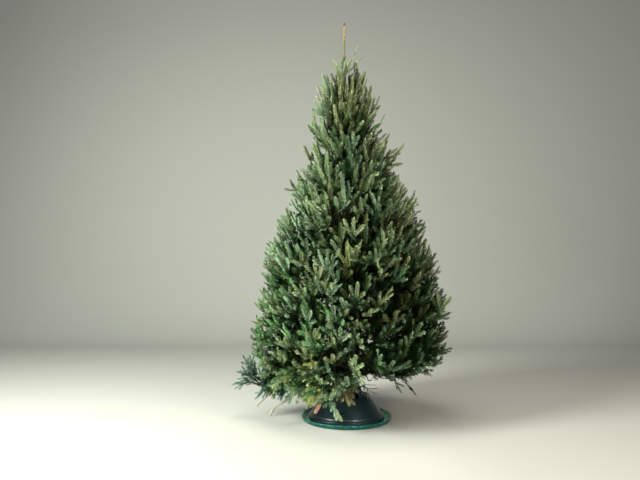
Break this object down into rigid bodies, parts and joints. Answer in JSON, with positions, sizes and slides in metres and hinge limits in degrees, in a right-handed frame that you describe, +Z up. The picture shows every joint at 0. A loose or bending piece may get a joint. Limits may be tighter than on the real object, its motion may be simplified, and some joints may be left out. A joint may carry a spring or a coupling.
{
  "type": "cut christmas tree in stand",
  "caption": "Undecorated cut fir as a Christmas tree: tapering trunk, tiers of rising boughs with needle foliage, bare leader, clamped in a conical stand on a round tray.",
  "frame": {"origin": "middle of the tray's flat underside, on the floor under the trunk", "axes": "+Z up along the trunk, -Y towards the viewer of the picture, +X to that viewer's right"},
  "size_m": [1.9066, 1.7725, 3.66],
  "materials": {
    "bark": "matt grey-brown bark with resin blisters",
    "needles": "grey-green fir needles, satin on top and paler below",
    "stand_plastic": "smooth dark blue-green moulded plastic",
    "tray_plastic": "scuffed emerald green moulded plastic",
    "steel": "zinc-plated steel"
  },
  "bodies": {
    "root": {"bough_1_1": "bark", "bough_1_2": "bark", "bough_1_3": "bark", "bough_1_4": "bark", "bough_1_5": "bark", "bough_2_1": "bark", "bough_2_2": "bark", "bough_2_3": "bark", "bough_2_4": "bark", "bough_2_5": "bark", "bough_3_1": "bark", "bough_3_2": "bark", "bough_3_3": "bark", "bough_3_4": "bark", "bough_4_1": "bark", "bough_4_2": "bark", "bough_4_3": "bark", "bough_4_4": "bark", "bough_5_1": "bark", "bough_5_2": "bark", "bough_5_3": "bark", "bough_6_1": "bark", "bough_6_2": "bark", "bough_6_3": "bark", "bough_low": "bark", "foliage_1_1": "needles", "foliage_1_2": "needles", "foliage_1_3": "needles", "foliage_1_4": "needles", "foliage_1_5": "needles", "foliage_2_1": "needles", "foliage_2_2": "needles", "foliage_2_3": "needles", "foliage_2_4": "needles", "foliage_2_5": "needles", "foliage_3_1": "needles", "foliage_3_2": "needles", "foliage_3_3": "needles", "foliage_3_4": "needles", "foliage_4_1": "needles", "foliage_4_2": "needles", "foliage_4_3": "needles", "foliage_4_4": "needles", "foliage_5_1": "needles", "foliage_5_2": "needles", "foliage_5_3": "needles", "foliage_6_1": "needles", "foliage_6_2": "needles", "foliage_6_3": "needles", "foliage_low": "needles", "foliage_tip": "needles", "stand_bolt_1": "steel", "stand_bolt_2": "steel", "stand_bolt_3": "steel", "stand_bolt_4": "steel", "stand_skirt": "stand_plastic", "stand_tray": "tray_plastic", "trunk": "bark"}
  },
  "joints": []
}
